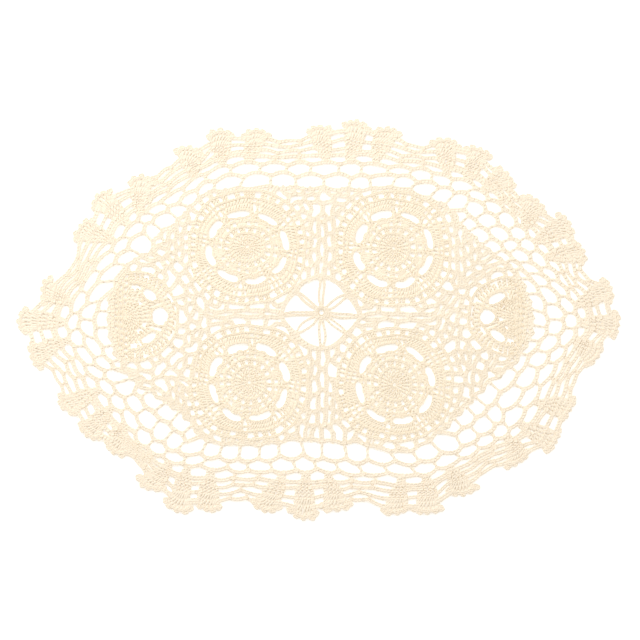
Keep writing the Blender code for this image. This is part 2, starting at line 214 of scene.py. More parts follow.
def smooth(before, here, there, after, part):
    """A point of the smooth curve through four points, part of the way from here to there."""
    leave = (there - before) / 2
    arrive = (after - here) / 2
    return (
        here * (2 * part**3 - 3 * part**2 + 1)
        + leave * (part**3 - 2 * part**2 + part)
        + there * (3 * part**2 - 2 * part**3)
        + arrive * (part**3 - part**2)
    )


def curved(points, per_span=5):
    """A smooth line through points."""
    line = []
    for index in range(len(points) - 1):
        before = points[max(index - 1, 0)]
        after = points[min(index + 2, len(points) - 1)]
        for step in range(per_span):
            line.append(smooth(before, points[index], points[index + 1], after, step / per_span))
    line.append(points[-1])
    return line


# The ground's places

def smooth_closed(stations, position):
    """The point at a position, in stations, on the closed smooth curve through the stations."""
    start = math.floor(position)
    near = [Vector(stations[(start + step) % len(stations)]) for step in (-1, 0, 1, 2)]
    return smooth(*near, position - start)


def pairs_of(line):
    """The places on one line of the ground, a group's and a valley's by turns."""
    stations = []
    for group, valley in zip(GROUPS, VALLEYS):
        stations.append(getattr(group, line))
        stations.append(getattr(valley, line))
    return stations


EDGE_STATIONS = pairs_of("edge")
ROOT_STATIONS = pairs_of("root")
RIM_STATIONS_PER_GROUP = 4
RIM_STATIONS = [
    place
    for group, valley in zip(GROUPS, VALLEYS)
    for place in (group.before, group.middle, group.after, valley.rim)
]


def rim_position(loops):
    """Where a place that is given in loops lies on the rim, in stations."""
    group = math.floor((loops + VALLEY_LOOPS) / LOOPS_PER_GROUP)
    offset = loops - group * LOOPS_PER_GROUP
    if abs(offset) <= SIDE_SHELL_LOOPS:
        stations = 1 + offset / SIDE_SHELL_LOOPS
    else:
        past = (abs(offset) - SIDE_SHELL_LOOPS) / (VALLEY_LOOPS - SIDE_SHELL_LOOPS)
        stations = 1 + math.copysign(1 + past, offset)
    return RIM_STATIONS_PER_GROUP * group + stations


def ground(loops, out):
    """A point of the ground: loops counts clockwise from the first group, out is a level."""
    root = smooth_closed(ROOT_STATIONS, loops / VALLEY_LOOPS)
    if out <= 1:
        edge = smooth_closed(EDGE_STATIONS, loops / VALLEY_LOOPS)
        return edge.lerp(root, out)
    rim = smooth_closed(RIM_STATIONS, rim_position(loops))
    return root.lerp(rim, out - 1)


# Stitch meshes, in millimetres

def tube_faces(rings, sides, first, closed):
    faces = []
    for ring in range(rings if closed else rings - 1):
        for side in range(sides):
            here = first + ring * sides
            there = first + (ring + 1) % rings * sides
            follow = (side + 1) % sides
            faces.append((here + side, there + side, there + follow, here + follow))
    return faces


def ring_of(middle, along, half_width, half_height, sides):
    aside = Vector((0, 0, 1)).cross(along).normalized()
    upward = along.cross(aside).normalized()
    return [
        middle
        + aside * half_width * math.cos(2 * math.pi * side / sides)
        + upward * half_height * math.sin(2 * math.pi * side / sides)
        for side in range(sides)
    ]


def link_stitch(steps=8, sides=4):
    """One chain stitch: a closed teardrop loop of thread whose narrow end dips under the last."""

    def centre(turn):
        bulge = rounded(math.sin(turn), LINK_ROUNDNESS)
        return Vector((
            LINK_LENGTH / 2 * math.cos(turn),
            LINK_HALF_WIDTH * bulge * (1 + LINK_TAPER * math.cos(turn)),
            LINK_DIP * math.cos(turn),
        ))

    points = []
    nudge = 0.01
    for step in range(steps):
        turn = 2 * math.pi * (step + 0.5) / steps
        along = (centre(turn + nudge) - centre(turn - nudge)).normalized()
        points += ring_of(centre(turn), along, THREAD_HALF_WIDTH, THREAD_HALF_HEIGHT, sides)
    return np.array(points), np.array(tube_faces(steps, sides, 0, True))


def post_stitch(steps=7, sides=4):
    """A tall stitch from x 0 to 1: two strands that wind round each other, with closed ends."""
    points = []
    faces = []
    for strand in range(2):
        first = len(points)
        for step in range(steps):
            along = step / (steps - 1)
            turn = 2 * math.pi * POST_TURNS * along + math.pi * strand
            middle = Vector((along, POST_HELIX * math.cos(turn), POST_HELIX * math.sin(turn)))
            points += ring_of(middle, Vector((1, 0, 0)), POST_HALF_WIDTH, POST_HALF_HEIGHT, sides)
        faces += tube_faces(steps, sides, first, False)
        last = first + (steps - 1) * sides
        faces.append(tuple(first + side for side in range(sides)))
        faces.append(tuple(last + side for side in reversed(range(sides))))
    return np.array(points), np.array(faces)


LINK = link_stitch()
POST = post_stitch()
KNOT = link_stitch(6, 3)


class Crochet:
    """Collects the stitches of one piece, in millimetres, and makes one mesh of them."""

    def __init__(self):
        self.links = []
        self.knots = []
        self.posts = []

    def chain(self, points, height=CHAIN_HEIGHT, pitch=CHAIN_PITCH, width=1.0):
        """Chain stitches along a line of points."""
        line = np.array([(point[0], point[1]) for point in points], dtype=float)
        steps = np.hypot(*np.diff(line, axis=0).T)
        reach = np.concatenate(([0.0], np.cumsum(steps)))
        if reach[-1] < SHORTEST_CHAIN:
            return
        count = max(1, round(reach[-1] / pitch))
        stretch = reach[-1] / (count * pitch)
        for index in range(count):
            at = reach[-1] * (index + 0.5) / count
            place, ahead, behind = (
                [np.interp(part, reach, line[:, axis]) for axis in (0, 1)]
                for part in (at, min(at + YAW_REACH, reach[-1]), max(at - YAW_REACH, 0))
            )
            yaw = math.atan2(ahead[1] - behind[1], ahead[0] - behind[0])
            self.links.append((*place, height, yaw, stretch, width, width))

    def ring(self, points, height=RING_HEIGHT, pitch=CHAIN_PITCH, width=1.0):
        self.chain(list(points) + [points[0]], height, pitch, width)

    def knot(self, place, yaw=0.0, size=1.0):
        """A stitch worked into the chains where they meet."""
        self.knots.append((*place, RING_HEIGHT, yaw, KNOT_STRETCH * size, KNOT_WIDTH * size, 1.0))

    def post(self, start, end, width=1.0, foot=None, height=POST_HEIGHT):
        """A tall stitch from one point to another, as wide at its foot as foot says."""
        run = Vector(end) - Vector(start)
        yaw = math.atan2(run.y, run.x)
        foot = width if foot is None else foot
        self.posts.append((*start, height, yaw, run.length, foot, width))

    def stamped(self, stitch, rows, post):
        """The points and faces of all stitches of one kind."""
        base, faces = stitch
        count = len(rows)
        start_x, start_y, height, yaw, length, foot, top = np.array(rows).T[:, :, None]
        along, aside, upward = base.T[:, None, :]
        wide = foot
        if post:
            wide = foot * (1 - along) + top * along
            upward = upward * np.minimum(wide, 1.0)
        roll = RANDOM.normal(0.0, ROLL_SPREAD, count)[:, None]
        yaw = yaw + RANDOM.normal(0.0, YAW_SPREAD, count)[:, None]
        x = along * length
        y = aside * wide * np.cos(roll) - upward * np.sin(roll)
        z = aside * wide * np.sin(roll) + upward * np.cos(roll)
        lift = height + RANDOM.normal(0.0, LIFT_SPREAD, count)[:, None]
        placed = np.stack((
            start_x + x * np.cos(yaw) - y * np.sin(yaw),
            start_y + x * np.sin(yaw) + y * np.cos(yaw),
            z + lift,
        ), axis=2).reshape(-1, 3)
        numbers = (faces[None] + (np.arange(count) * len(base))[:, None, None]).reshape(-1, 4)
        return placed, numbers

    def made(self, name, material):
        """One object of all the stitches."""
        points = []
        faces = []
        first = 0
        kinds = ((LINK, self.links, False), (KNOT, self.knots, False), (POST, self.posts, True))
        for stitch, rows, post in kinds:
            if rows:
                placed, numbers = self.stamped(stitch, rows, post)
                points.append(placed)
                faces.append(numbers + first)
                first += len(placed)
        points = settled(np.concatenate(points))
        faces = np.concatenate(faces)
        mesh = bpy.data.meshes.new(name)
        mesh.from_pydata(points, [], faces)
        mesh.validate()
        mesh.materials.append(material)
        item = bpy.data.objects.new(name, mesh)
        bpy.context.scene.collection.objects.link(item)
        return item


# Hand-made unevenness in millimetres: a slow and a quick wander sideways, and a gentle rise
SLOW_WANDER = 0.36
QUICK_WANDER = 0.28
RISE = 0.22
RISE_MIDDLE = 1.2
LOWEST = 0.02

# From the layout's millimetres to the frame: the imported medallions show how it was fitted

first_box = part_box("medallion_back_left")
last_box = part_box("medallion_front_right")
RAW_LOW = (
    MEDALLIONS[0].middle[0] - MEDALLIONS[0].outer[0],
    MEDALLIONS[3].middle[1] - MEDALLIONS[3].outer[1],
)
RAW_HIGH = (
    MEDALLIONS[3].middle[0] + MEDALLIONS[3].outer[0],
    MEDALLIONS[0].middle[1] + MEDALLIONS[0].outer[1],
)
FIT_LOW = (first_box[0][0], last_box[0][1])
FIT_HIGH = (last_box[1][0], first_box[1][1])


def settled(points):
    """Hand-made unevenness, and the points in metres where the frame has them."""
    x = points[:, 0].copy()
    y = points[:, 1].copy()
    slow = (np.sin(x / 5.3 + y / 7.9 + 1.7), np.sin(y / 5.9 - x / 6.7 + 0.6))
    quick = (np.sin(y / 2.7 - x / 5.1), np.sin(x / 2.9 + y / 4.3))
    waves = np.sin(x / 11.0 + y / 17.0) * np.sin(y / 13.0 - x / 19.0)
    ripples = 0.3 * np.sin(x / 4.7) * np.sin(y / 5.1)
    points[:, 2] += RISE * (waves + ripples + RISE_MIDDLE)
    for axis in (0, 1):
        points[:, axis] += SLOW_WANDER * slow[axis] + QUICK_WANDER * quick[axis]
        part = (points[:, axis] - RAW_LOW[axis]) / (RAW_HIGH[axis] - RAW_LOW[axis])
        points[:, axis] = FIT_LOW[axis] + part * (FIT_HIGH[axis] - FIT_LOW[axis])
    points[:, 2] = np.maximum(points[:, 2], LOWEST) * MILLIMETRE
    return points


# Cotton

# Painted glow: the cotton's weak warm emission stands in for light that shines through the thread
COTTON_SURFACE = {
    "Roughness": 0.85,
    "Sheen Weight": 0.25,
    "Sheen Roughness": 0.5,
    "Specular IOR Level": 0.25,
    "Emission Strength": 0.05,
    "Emission Color": (1.0, 0.84, 0.58, 1.0),
}
# Painted shade: the heights over which the cotton goes from its painted shade colour low in the
# lace to its own colour on top
COTTON_SHADE_HEIGHTS = {"From Min": 0.3 * MILLIMETRE, "From Max": 1.4 * MILLIMETRE}
COTTON_PATCHES = {"Scale": 380.0, "Detail": 3.0}
COTTON_FIBRES = {"Scale": 2600.0, "Detail": 2.0}
COTTON_BUMP = {"Strength": 0.35, "Distance": 0.12 * MILLIMETRE}
PATCH_STRENGTH = 0.7
SHADE_UNTIL = 0.1
LIGHT_FROM = 0.95


def set_inputs(node, values):
    for name, value in values.items():
        node.inputs[name].default_value = value


def cotton(name, light, deep):
    """Cotton painted darker and warmer low in the lace, as painted shade between the threads, with
    faint patches and fibres; deep is the painted shade's colour.
    """
    material = bpy.data.materials.new(name)
    material.use_nodes = True
    nodes = material.node_tree.nodes
    links = material.node_tree.links
    surface = nodes["Principled BSDF"]
    set_inputs(surface, COTTON_SURFACE)
    place = nodes.new("ShaderNodeTexCoord")
    height = nodes.new("ShaderNodeSeparateXYZ")
    links.new(place.outputs["Object"], height.inputs[0])
    shade_mask = nodes.new("ShaderNodeMapRange")
    set_inputs(shade_mask, COTTON_SHADE_HEIGHTS)
    links.new(height.outputs["Z"], shade_mask.inputs["Value"])
    patches = nodes.new("ShaderNodeTexNoise")
    set_inputs(patches, COTTON_PATCHES)
    links.new(place.outputs["Object"], patches.inputs["Vector"])
    blend = nodes.new("ShaderNodeMath")
    blend.operation = "MULTIPLY_ADD"
    blend.inputs[1].default_value = PATCH_STRENGTH
    links.new(patches.outputs["Fac"], blend.inputs[0])
    links.new(shade_mask.outputs["Result"], blend.inputs[2])
    ramp = nodes.new("ShaderNodeValToRGB")
    ends = ramp.color_ramp.elements
    # The ramp runs from the painted shade colour (deep) low in the lace to the cotton's own colour
    # (light) higher up
    for end, position, color in zip(ends, (SHADE_UNTIL, LIGHT_FROM), (deep, light)):
        end.position = position
        end.color = (*color, 1.0)
    links.new(blend.outputs["Value"], ramp.inputs["Fac"])
    links.new(ramp.outputs["Color"], surface.inputs["Base Color"])
    fibres = nodes.new("ShaderNodeTexNoise")
    set_inputs(fibres, COTTON_FIBRES)
    links.new(place.outputs["Object"], fibres.inputs["Vector"])
    bump = nodes.new("ShaderNodeBump")
    set_inputs(bump, COTTON_BUMP)
    links.new(fibres.outputs["Fac"], bump.inputs["Height"])
    links.new(bump.outputs["Normal"], surface.inputs["Normal"])
    return material


# Full medallions

WHEEL_OUTER = 36.5
WHEEL_SLOTS = 23.6
SQUARE_FROM = 25.0
SQUARE_OVER = 9.0


def wheel_point(row, degrees, radius):
    """A point of a medallion: round inside, growing to its rounded square outline."""
    angle = math.radians(degrees)
    part = eased((radius - SQUARE_FROM) / SQUARE_OVER)
    cos, sin = math.cos(angle), math.sin(angle)
    inner = Vector((row.slots[0] / WHEEL_SLOTS * cos, row.slots[1] / WHEEL_SLOTS * sin))
    size = 1 / (abs(cos) ** SQUARENESS + abs(sin) ** SQUARENESS) ** (1 / SQUARENESS)
    outer = Vector((row.outer[0] * cos, row.outer[1] * sin)) * size / WHEEL_OUTER
    return Vector(row.middle) + inner.lerp(outer, part) * radius


# The chain round a gap, and how far from a gap the other stitches stop
GAP_EDGE = 0.9
GAP_EDGE_STEPS = 24
GAP_ROUNDNESS = 0.85
GAP_ASIDE = 0.5
GAP_ACROSS = 0.15
SHORTEST_POST = 0.5
RING_STEP = 3


class Wheel:
    """A motif worked in rounds from its centre, whose stitches leave the listed gaps open."""

    def __init__(self, at):
        self.at = at
        self.gaps = []
        self.work = Crochet()

    def gap(self, degrees, radius, wide, deep, edged=False):
        """An oval gap by its place, its half width along the round and its half depth across."""
        self.gaps.append((degrees, radius, wide, deep))
        if edged:
            line = []
            for step in range(GAP_EDGE_STEPS):
                turn = 2 * math.pi * step / GAP_EDGE_STEPS
                along = rounded(math.cos(turn), GAP_ROUNDNESS)
                aside = math.degrees((wide + GAP_EDGE) * along / radius)
                line.append(self.at(degrees + aside, radius + (deep + GAP_EDGE) * math.sin(turn)))
            self.work.ring(line, RING_HEIGHT, width=0.7)

    def clear(self, degrees, radius):
        """Whether a place is outside every gap."""
        for place, middle, wide, deep in self.gaps:
            aside = math.radians((degrees - place + 180) % 360 - 180) * middle / (wide + GAP_ASIDE)
            across = (radius - middle) / (deep + GAP_ACROSS)
            if aside**2 + across**2 < 1:
                return False
        return True

    def posts(self, low, high, count, width=1.1, foot=None, start=0.0, end=360.0, turned=0.0):
        """A round of tall stitches, broken where they would cross a gap."""
        for step in range(count):
            degrees = start + (end - start) * (step + turned) / count
            run = []
            for radius in [*np.linspace(low, high, 15), None]:
                if radius is not None and self.clear(degrees, radius):
                    run.append(radius)
                    continue
                if run and run[-1] - run[0] > SHORTEST_POST:
                    self.work.post(self.at(degrees, run[0]), self.at(degrees, run[-1]), width, foot)
                run = []

    def ring(self, radius, start=0.0, end=360.0, width=1.0):
        """A round of chain stitches, broken where it would cross a gap."""
        run = []
        for degrees in [*np.linspace(start, end, round((end - start) / RING_STEP) + 1), None]:
            if degrees is not None and self.clear(degrees, radius):
                run.append(self.at(degrees, radius))
                continue
            if len(run) > 2:
                self.work.chain(run, RING_HEIGHT, width=width)
            run = []


# A medallion's rounds from its middle outwards. Radii are in millimetres, asides and turns in
# degrees, and a pair of numbers is the least and the most of what is drawn for each stitch.
BLOCKS = 8
BLOCK_TURN = 360 / BLOCKS
SLOT_RADIUS = 23.5
SLOT_WIDE = (6.8, 7.8)
SLOT_DEEP = (1.8, 2.5)
DISC_RING = 10.2
DISC_RING_WIDTH = 0.85
PAIR_FOOT = 10.0
PAIR_TOP = 14.8
PAIR_ASIDE = 3.6
PAIR_RING = 15.0
CLUSTER_TOP = 21.9
CLUSTER_FOOT_TURN = 3.0
CLUSTER_TOP_TURN = 4.2
SPOKE_TOP = 20.8
BRANCH_FOOT = 20.4
BRANCH_TOP = 26.2
BRANCH_ASIDE = 2.4
BRANCH_SPREAD = 1.7
FAN_FOOT = 25.9
FAN_TOP = (31.6, 33.0)
FAN_REACH = (14.6, 16.4)
BETWEEN_FOOT = 26.0
BETWEEN_ASIDE = 3.3
RIM_PAIRS = 36
RIM_FOOT = 31.9
RIM_TOP = 36.2
RIM_ASIDE = (1.3, 2.3)
RIM_WIDTH = (0.95, 1.3)
RIM_CHAIN_WIDTH = 0.9


def make_medallion(row, material):
    """A full medallion: disc, round of pairs, clusters, slots, fan blocks and rim."""
    wheel = Wheel(lambda degrees, radius: wheel_point(row, row.turn + degrees, radius))
    work = wheel.work
    at = wheel.at
    for block in range(BLOCKS):
        place = BLOCK_TURN * block + RANDOM.uniform(-1.5, 1.5)
        wide = RANDOM.uniform(*SLOT_WIDE)
        deep = RANDOM.uniform(*SLOT_DEEP)
        wheel.gap(place, SLOT_RADIUS, wide, deep, edged=True)
    wheel.posts(0.9, 4.8, 11, 1.3, 0.5)
    wheel.posts(4.6, 9.8, 21, 1.4, 0.9)
    wheel.ring(DISC_RING, width=DISC_RING_WIDTH)
    # a round of paired stitches with a small gap between the pairs
    for pair in range(2 * BLOCKS):
        for aside in (-PAIR_ASIDE, PAIR_ASIDE):
            degrees = BLOCK_TURN / 2 * pair + aside + RANDOM.uniform(-1.0, 1.0)
            width = RANDOM.uniform(0.85, 1.15)
            work.post(at(degrees, PAIR_FOOT), at(degrees, PAIR_TOP), width)
    wheel.ring(PAIR_RING, width=DISC_RING_WIDTH)
    for block in range(BLOCKS):
        middle = BLOCK_TURN * block
        spoke = middle + BLOCK_TURN / 2
        # a cluster, which stands a little into its slot
        for offset in (-2, -1, 0, 1, 2):
            foot = at(middle + offset * CLUSTER_FOOT_TURN, PAIR_TOP)
            top = CLUSTER_TOP - 0.28 * offset * offset
            work.post(foot, at(middle + offset * CLUSTER_TOP_TURN, top), BLOCK_WIDTH, 1.1)
        # a spoke, which spreads out to the fan blocks
        work.post(at(spoke, PAIR_TOP), at(spoke, SPOKE_TOP), 2.0)
        for aside in (-BRANCH_ASIDE, BRANCH_ASIDE):
            foot = at(spoke + aside, BRANCH_FOOT)
            work.post(foot, at(spoke + aside * BRANCH_SPREAD, BRANCH_TOP), BLOCK_WIDTH)
        for side in (-1, 1):
            line = [at(middle + side * 8, 19.3), at(middle + side * 20, 18.9)]
            work.chain(line, RING_HEIGHT, width=FINE_WIDTH)
    for block in range(BLOCKS):
        middle = BLOCK_TURN * block
        top = RANDOM.uniform(*FAN_TOP)
        reach = RANDOM.uniform(*FAN_REACH)
        start, end = middle - reach, middle + reach
        wheel.posts(FAN_FOOT, top, 9, BLOCK_WIDTH, 1.2, start, end, 0.5)
        for aside in (-BETWEEN_ASIDE, BETWEEN_ASIDE):
            spoke = middle + BLOCK_TURN / 2 + aside + RANDOM.uniform(-0.8, 0.8)
            wheel.posts(BETWEEN_FOOT, RIM_FOOT, 1, 1.0, 0.9, spoke, spoke + 1)
        wheel.ring(RANDOM.uniform(28.4, 29.8), middle + 15.5, middle + 29.5, 0.7)
    wheel.ring(RIM_FOOT, width=0.65)
    # the last round, pairs of stitches with gaps between them
    for pair in range(RIM_PAIRS):
        degrees = 360 * pair / RIM_PAIRS + RANDOM.uniform(-2.0, 2.0)
        aside = RANDOM.uniform(*RIM_ASIDE)
        for side in (-aside, aside):
            foot = at(degrees + side, RIM_FOOT)
            work.post(foot, at(degrees + side * 0.8, RIM_TOP), RANDOM.uniform(*RIM_WIDTH))
    wheel.ring(WHEEL_OUTER, width=RIM_CHAIN_WIDTH)
    return work.made(row.name.replace("medallion", "lace_medallion"), material)


# Half medallions

# Their gaps, each by its degrees, its radius, its half width and its half depth: the three slots,
# the small gaps between the disc and them, and those at the sides and near the rim
HALF_MEDALLION_GAPS = (
    (
        # left
        (0, 18.0, 6.1, 4.1), (52, 18.0, 4.2, 2.5), (-52, 18.4, 5.0, 1.9),
        (8, 10.8, 0.4, 0.5), (-26, 10.8, 0.4, 0.5), (-52, 10.8, 0.4, 0.5), (48, 10.8, 0.4, 0.5),
        (82, 19.0, 1.8, 1.0), (-84, 19.0, 1.8, 1.0),
        (27, 27.6, 1.8, 0.7), (-27, 27.6, 1.8, 0.7), (9, 28.2, 1.6, 0.6), (-9, 28.2, 1.6, 0.6),
        (70, 27.8, 1.8, 0.8), (-70, 27.8, 1.8, 0.8),
    ),
    (
        # right
        (0, 15.4, 4.6, 4.0), (53, 15.6, 5.6, 2.2), (-55, 15.6, 5.4, 2.3),
        (-12, 8.8, 0.3, 0.4), (24, 8.8, 0.3, 0.4), (50, 8.8, 0.3, 0.4), (-60, 8.8, 0.3, 0.4),
        (-88, 15.4, 1.7, 1.0), (-28, 20.4, 1.6, 1.2),
        (28, 24.8, 1.6, 0.7), (8, 25.2, 1.6, 0.6), (-9, 25.2, 1.6, 0.6),
        (68, 25.0, 1.8, 0.8), (-68, 25.0, 1.8, 0.8),
    ),
)
HALF_TURN = 98.0
FAN_TURN = 100.0
DISC_SHIFT = 5.0
EDGED_GAPS = 3

# The foot of a half medallion, upright rows of stitches: how far back each begins, how long its
# stitches are, how many a millimetre has, how far up it reaches and by how much each is shorter
FOOT_COLUMNS = 3
FOOT_FIRST = 0.22
FOOT_PITCH = 0.24
FOOT_LENGTH = 0.25
FOOT_DENSITY = 0.4
FOOT_REACH = 0.8
FOOT_TAPER = 0.10
FOOT_WIDTH = 1.7


def half_point(row, degrees, radius):
    """A point of a half medallion by its angle from the side it opens to."""
    angle = math.radians(degrees)
    cos, sin = math.cos(angle), math.sin(angle)
    grown = min(max((radius - row.slot_radius) / (row.reach - row.slot_radius), 0.0), 1.0)
    reach = row.reach if cos > 0 else row.back
    size = Vector((1.0, 1.0)).lerp(Vector((reach / row.reach, row.half_height / row.reach)), grown)
    shift = DISC_SHIFT * max(0.0, 1 - radius / row.slot_radius)
    if cos < 0 and grown < 1:
        size.x = min(size.x, (row.back - shift) / row.slot_radius)
    place = Vector((row.opens * (size.x * cos * radius - shift), size.y * sin * radius))
    return Vector(row.middle) + place


def make_half_medallion(row, gaps, material):
    """A half medallion: fans round its slots, opening to one side, and a foot on the other."""
    wheel = Wheel(lambda degrees, radius: half_point(row, degrees, radius))
    work = wheel.work
    slot = row.slot_radius
    edge = row.reach
    for index, gap in enumerate(gaps):
        wheel.gap(*gap, edged=index < EDGED_GAPS)
    # each round's radii, its posts as the left half has them, their widths and its turn
    for low, high, count, width, foot, reach in (
        (0.8, 4.4, 7, 1.3, 0.8, HALF_TURN),
        (4.2, 8.0, 11, 1.4, 1.0, HALF_TURN),
        (7.8, slot - 4.6, 15, 1.5, 1.2, HALF_TURN),
        (slot - 4.8, slot + 3.8, 22, 1.35, 1.1, FAN_TURN),
        (slot + 3.6, edge - 3.4, 29, 1.45, 1.3, FAN_TURN),
        (edge - 3.6, edge - 0.6, 30, 1.5, 1.4, FAN_TURN),
    ):
        count = round(count * row.half_height / HALF_MEDALLIONS[0].half_height)
        wheel.posts(low, high, count, width, foot, -reach, reach, 0.5)
    wheel.ring(slot + 3.8, -FAN_TURN, FAN_TURN, RIM_CHAIN_WIDTH)
    rim = [wheel.at(6 * step, edge - 0.6) for step in range(60)]
    work.ring(rim, RING_HEIGHT, width=RIM_CHAIN_WIDTH)
    rows = round(row.half_height * FOOT_DENSITY)
    for column in range(FOOT_COLUMNS):
        near = row.back * (FOOT_FIRST + FOOT_PITCH * column)
        far = near + row.back * FOOT_LENGTH
        line = []
        for step in range(rows):
            part = 2 * FOOT_REACH * step / (rows - 1) - FOOT_REACH
            y = row.middle[1] + row.half_height * part * (1 - FOOT_TAPER * column)
            line.append((row.middle[0] - row.opens * near, y))
            work.post(line[-1], (row.middle[0] - row.opens * far, y), FOOT_WIDTH)
        if column:
            work.chain(line, width=FINE_WIDTH)
    return work.made(row.name.replace("medallion", "lace_medallion"), material)


# Centre star

HUB_POSTS = 10
HUB_FOOT = 1.4
HUB_TOP = 3.2
SHORTEST_TIE = 2.2


def direction(angle):
    return Vector((math.cos(angle), math.sin(angle)))


def star_point(turn, grown=0.0):
    """A point of the star's frame, turn counted in arms."""
    angle = 2 * math.pi * turn / STAR_ARMS
    diagonal = abs(math.sin(2 * angle))
    half_x = STAR_HALF_WIDTH + (STAR_DIAGONAL - STAR_HALF_WIDTH) * diagonal + grown
    half_y = STAR_HALF_DEPTH + (STAR_DIAGONAL - STAR_HALF_DEPTH) * diagonal + grown
    return Vector(STAR_MIDDLE) + Vector((half_x * math.cos(angle), half_y * math.sin(angle)))


def make_star(material):
    """The centre star: a hub, petals of two chains, and a frame with a wider one round it."""
    work = Crochet()
    middle = Vector(STAR_MIDDLE)
    for step in range(HUB_POSTS):
        out = direction(2 * math.pi * step / HUB_POSTS)
        work.post(middle + out * HUB_FOOT, middle + out * HUB_TOP, 1.2, 0.8)
    work.ring([middle + direction(math.radians(15 * step)) * 3.3 for step in range(24)])
    # the frame, round from tip to tip, and a wider one that the joining chains reach
    tips = [photo(petal.px, petal.py) - middle for petal in PETALS]
    frame_line = []
    surround = []
    for step, tip in enumerate(tips):
        follow = tips[(step + 1) % STAR_ARMS]
        for part in range(6):
            place = tip.lerp(follow, part / 6)
            reach = tip.length + (follow.length - tip.length) * part / 6
            frame_line.append(middle + place.normalized() * (reach + 0.3))
            surround.append(star_point(step + part / 6, 0.8))
    work.ring(frame_line, CHAIN_HEIGHT, width=NET_WIDTH)
    work.ring(surround, CHAIN_HEIGHT)
    for here, there in list(zip(frame_line, surround))[::2]:
        if (there - here).length > SHORTEST_TIE:
            work.post(here, there, 1.1)
    for tip, petal in zip(tips, PETALS):
        out = tip.normalized()
        aside = Vector((-out.y, out.x))
        for side in (-1, 1):
            line = [
                middle + out * HUB_TOP + aside * side * 0.5,
                middle + tip * 0.42 + aside * side * petal.parted,
                middle + tip * 0.74 + aside * side * petal.parted,
                middle + tip + aside * side * 0.4,
            ]
            work.chain(curved(line), CHAIN_HEIGHT, width=FINE_WIDTH)
    return work.made("lace_centre_star", material)


# Joining net: lengths in millimetres, and shares of the length that they follow

GAP_REACH = 0.27
LONG_GAP = 2.6
FILL_REACH = 0.22
FILL_CROWD = 0.85
MOTIF_CLEARANCE = 0.8
GRID_JITTER = 0.7
GRID_CROWD = 0.8
RIM_CLEARANCE = 1.7
RIM_SEED_PITCH = 4.0
RIM_SEED_DEPTH = 2.6
SHORTEST_SIDE = 0.9
LONGEST_SIDE = 22.0
SCALLOP_STEPS = 8
SHORTEST_BRIDGE = 1.2
LONGEST_BRIDGE = 5.5
BRIDGE_WIDTH = 0.85


def rims():
    """The outlines that the joining chains reach: each motif's, the star's and the ground's."""
    lines = []
    for row in MEDALLIONS:
        line = [wheel_point(row, 5 * step, WHEEL_OUTER - 0.2) for step in range(72)]
        lines.append((row.middle, line))
    for row in HALF_MEDALLIONS:
        lines.append((row.middle, [half_point(row, 6 * step, row.reach) for step in range(60)]))
    lines.append((STAR_MIDDLE, [star_point(step / 5) for step in range(5 * STAR_ARMS)]))
    lines.append((None, [ground(step / 4, 0.0) for step in range(4 * LOOP_COUNT)]))
    return lines


def inside(point, line):
    """Whether a point lies inside a closed outline."""
    within = False
    for one, two in zip(line, line[1:] + line[:1]):
        if (one.y > point.y) != (two.y > point.y):
            if point.x < one.x + (two.x - one.x) * (point.y - one.y) / (two.y - one.y):
                within = not within
    return within


class Cells:
    """The seeds of the net's gaps. A long gap has several seeds, which share its number."""

    def __init__(self):
        self.seeds = []
        self.numbers = []

    def add(self, place, along=Vector((0, 0)), number=None):
        """A gap that reaches as far as along to each side of its place."""
        number = -1 - len(self.seeds) if number is None else number
        parts = (0,)
        if along.length > LONG_GAP:
            parts = (-1, 0, 1)
        elif along.length > 0:
            parts = (-1, 1)
        for part in parts:
            self.seeds.append(place + along * part)
            self.numbers.append(number)

    def crowd(self, place):
        """How far the nearest seed is."""
        return min((seed - place).length for seed in self.seeds)


def fill_round(cells, lines):
    """Adds rows of gaps that follow each motif's outline, longer along it than across."""
    motifs = lines[:-1]
    for middle, line in motifs:
        for row in range(FILL_ROWS):
            offset = FILL_FIRST + FILL_ACROSS * row
            walked = FILL_ALONG * 0.5 * (row % 2)
            last = None
            for point in line + line[:1]:
                place = point + (point - Vector(middle)).normalized() * offset
                step = place - last if last is not None else Vector((0, 0))
                walked += step.length
                last = place
                if walked < FILL_ALONG:
                    continue
                walked = 0
                nearest = min((other - place).length for _, line_of in motifs for other in line_of)
                if nearest < offset - MOTIF_CLEARANCE:
                    continue
                if cells.crowd(place) < FILL_ACROSS * FILL_CROWD:
                    continue
                if inside(place, lines[-1][1]):
                    cells.add(place, step.normalized() * FILL_ALONG * FILL_REACH)


def fill_between(cells, lines):
    """Adds gaps wherever the listed rows leave the space between the motifs bare."""
    edge = lines[-1][1]
    for row in range(-20, 21):
        for column in range(-28, 29):
            across = column + 0.5 * (row % 2)
            jitter = Vector(RANDOM.uniform(-GRID_JITTER, GRID_JITTER, 2))
            point = Vector((across * FILL_PITCH, row * FILL_PITCH * 0.85)) + jitter
            if not inside(point, edge) or any(inside(point, line) for _, line in lines[:-1]):
                continue
            rim = min((place - point).length for _, line in lines for place in line)
            if rim < RIM_CLEARANCE or cells.crowd(point) < FILL_PITCH * GRID_CROWD:
                continue
            cells.add(point)


def net_cells(lines):
    """All gaps of the net, with each motif and the ground's edge as a cell of its own."""
    cells = Cells()
    for first, last, count in GAP_ROWS:
        start = photo(*first)
        spacing = (photo(*last) - start) / max(count - 1, 1)
        for step in range(count):
            cells.add(start + spacing * step, spacing * GAP_REACH)
    fill_round(cells, lines)
    fill_between(cells, lines)
    for owner, (middle, line) in enumerate(lines):
        last = None
        for index, point in enumerate(line):
            if last is not None and (point - last).length < RIM_SEED_PITCH:
                continue
            last = point
            if middle is None:
                ahead = line[(index + 1) % len(line)] - point
                seed = point - right_of(ahead).normalized() * RIM_SEED_DEPTH
            else:
                seed = point + (Vector(middle) - point).normalized() * RIM_SEED_DEPTH
            cells.add(seed, number=owner)
    return cells


